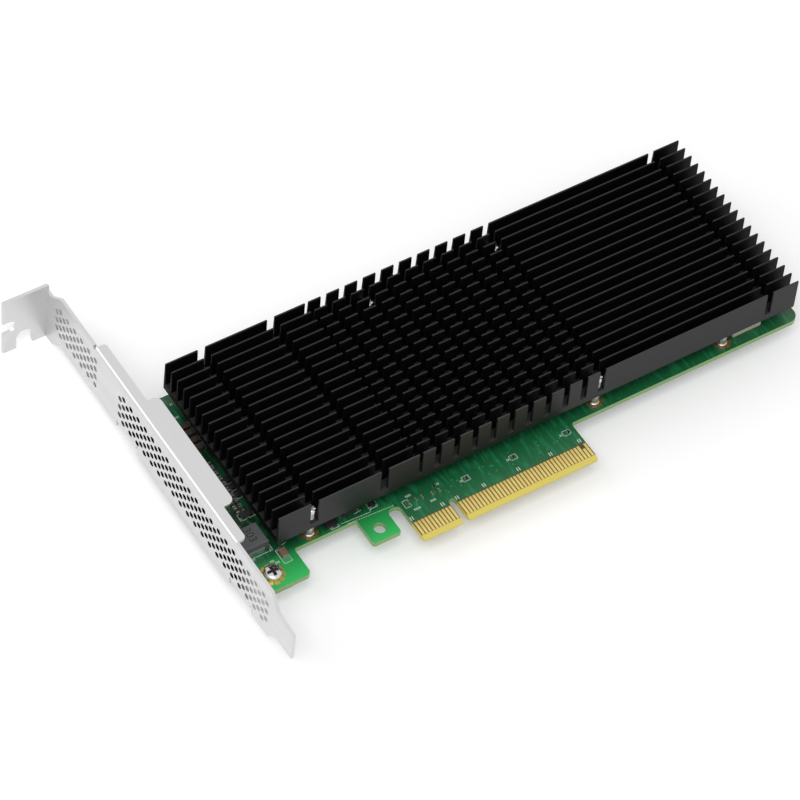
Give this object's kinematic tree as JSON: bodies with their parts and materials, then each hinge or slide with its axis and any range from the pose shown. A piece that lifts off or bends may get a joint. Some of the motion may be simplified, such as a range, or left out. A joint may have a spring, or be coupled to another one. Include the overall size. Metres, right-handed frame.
{
  "type": "nvme adapter card",
  "caption": "Low bus card with an edge connector, a black finned heatsink over its drive sockets and switch chip, and a tall perforated slot bracket with a folded mounting tab.",
  "frame": {"origin": "centre of the edge connector's key notch, on the finger tip line, at the board's solder face", "axes": "+X along the card away from the bracket, +Y from the finger tip towards the board's top edge, +Z out of the component side"},
  "size_m": [0.1814, 0.12, 0.0221],
  "materials": {
    "circuit_board": "semi-gloss solder mask",
    "contacts_component_side": "gold plated",
    "contacts_solder_side": "gold plated",
    "heat_sink": "black anodised",
    "heatsink_posts": "tin plated",
    "heatsink_springs": "bright wire",
    "heatsink_screws": "nickel plated",
    "bracket": "bright plated sheet",
    "bracket_screws": "nickel plated",
    "switch_chip_carrier": "laminate",
    "switch_chip_lid": "nickel plated",
    "chip_thermal_pad": "matt",
    "drive_sockets": "moulded",
    "drive_posts": "plated",
    "drive_thermal_pads": "matt",
    "power_inductors": "pressed ferrite",
    "inductor_terminals": "tinned",
    "power_controllers": "moulded",
    "memory_chip": "moulded",
    "memory_leads": "tinned",
    "clock_crystal": "metal lid",
    "bulk_capacitors": "fired ceramic",
    "ear_capacitor": "fired ceramic",
    "lane_capacitors": "fired ceramic",
    "strip_capacitors": "fired ceramic",
    "edge_resistors": "glazed ceramic",
    "status_lights": "clear resin"
  },
  "bodies": {
    "root": {"circuit_board": "circuit_board", "contacts_component_side": "contacts_component_side", "contacts_solder_side": "contacts_solder_side", "heat_sink": "heat_sink", "heatsink_posts": "heatsink_posts", "heatsink_springs": "heatsink_springs", "heatsink_screws": "heatsink_screws", "bracket": "bracket", "bracket_screws": "bracket_screws", "switch_chip_carrier": "switch_chip_carrier", "switch_chip_lid": "switch_chip_lid", "chip_thermal_pad": "chip_thermal_pad", "drive_sockets": "drive_sockets", "drive_posts": "drive_posts", "drive_thermal_pads": "drive_thermal_pads", "power_inductors": "power_inductors", "inductor_terminals": "inductor_terminals", "power_controllers": "power_controllers", "memory_chip": "memory_chip", "memory_leads": "memory_leads", "clock_crystal": "clock_crystal", "bulk_capacitors": "bulk_capacitors", "ear_capacitor": "ear_capacitor", "lane_capacitors": "lane_capacitors", "strip_capacitors": "strip_capacitors", "edge_resistors": "edge_resistors", "status_lights": "status_lights"}
  },
  "joints": []
}
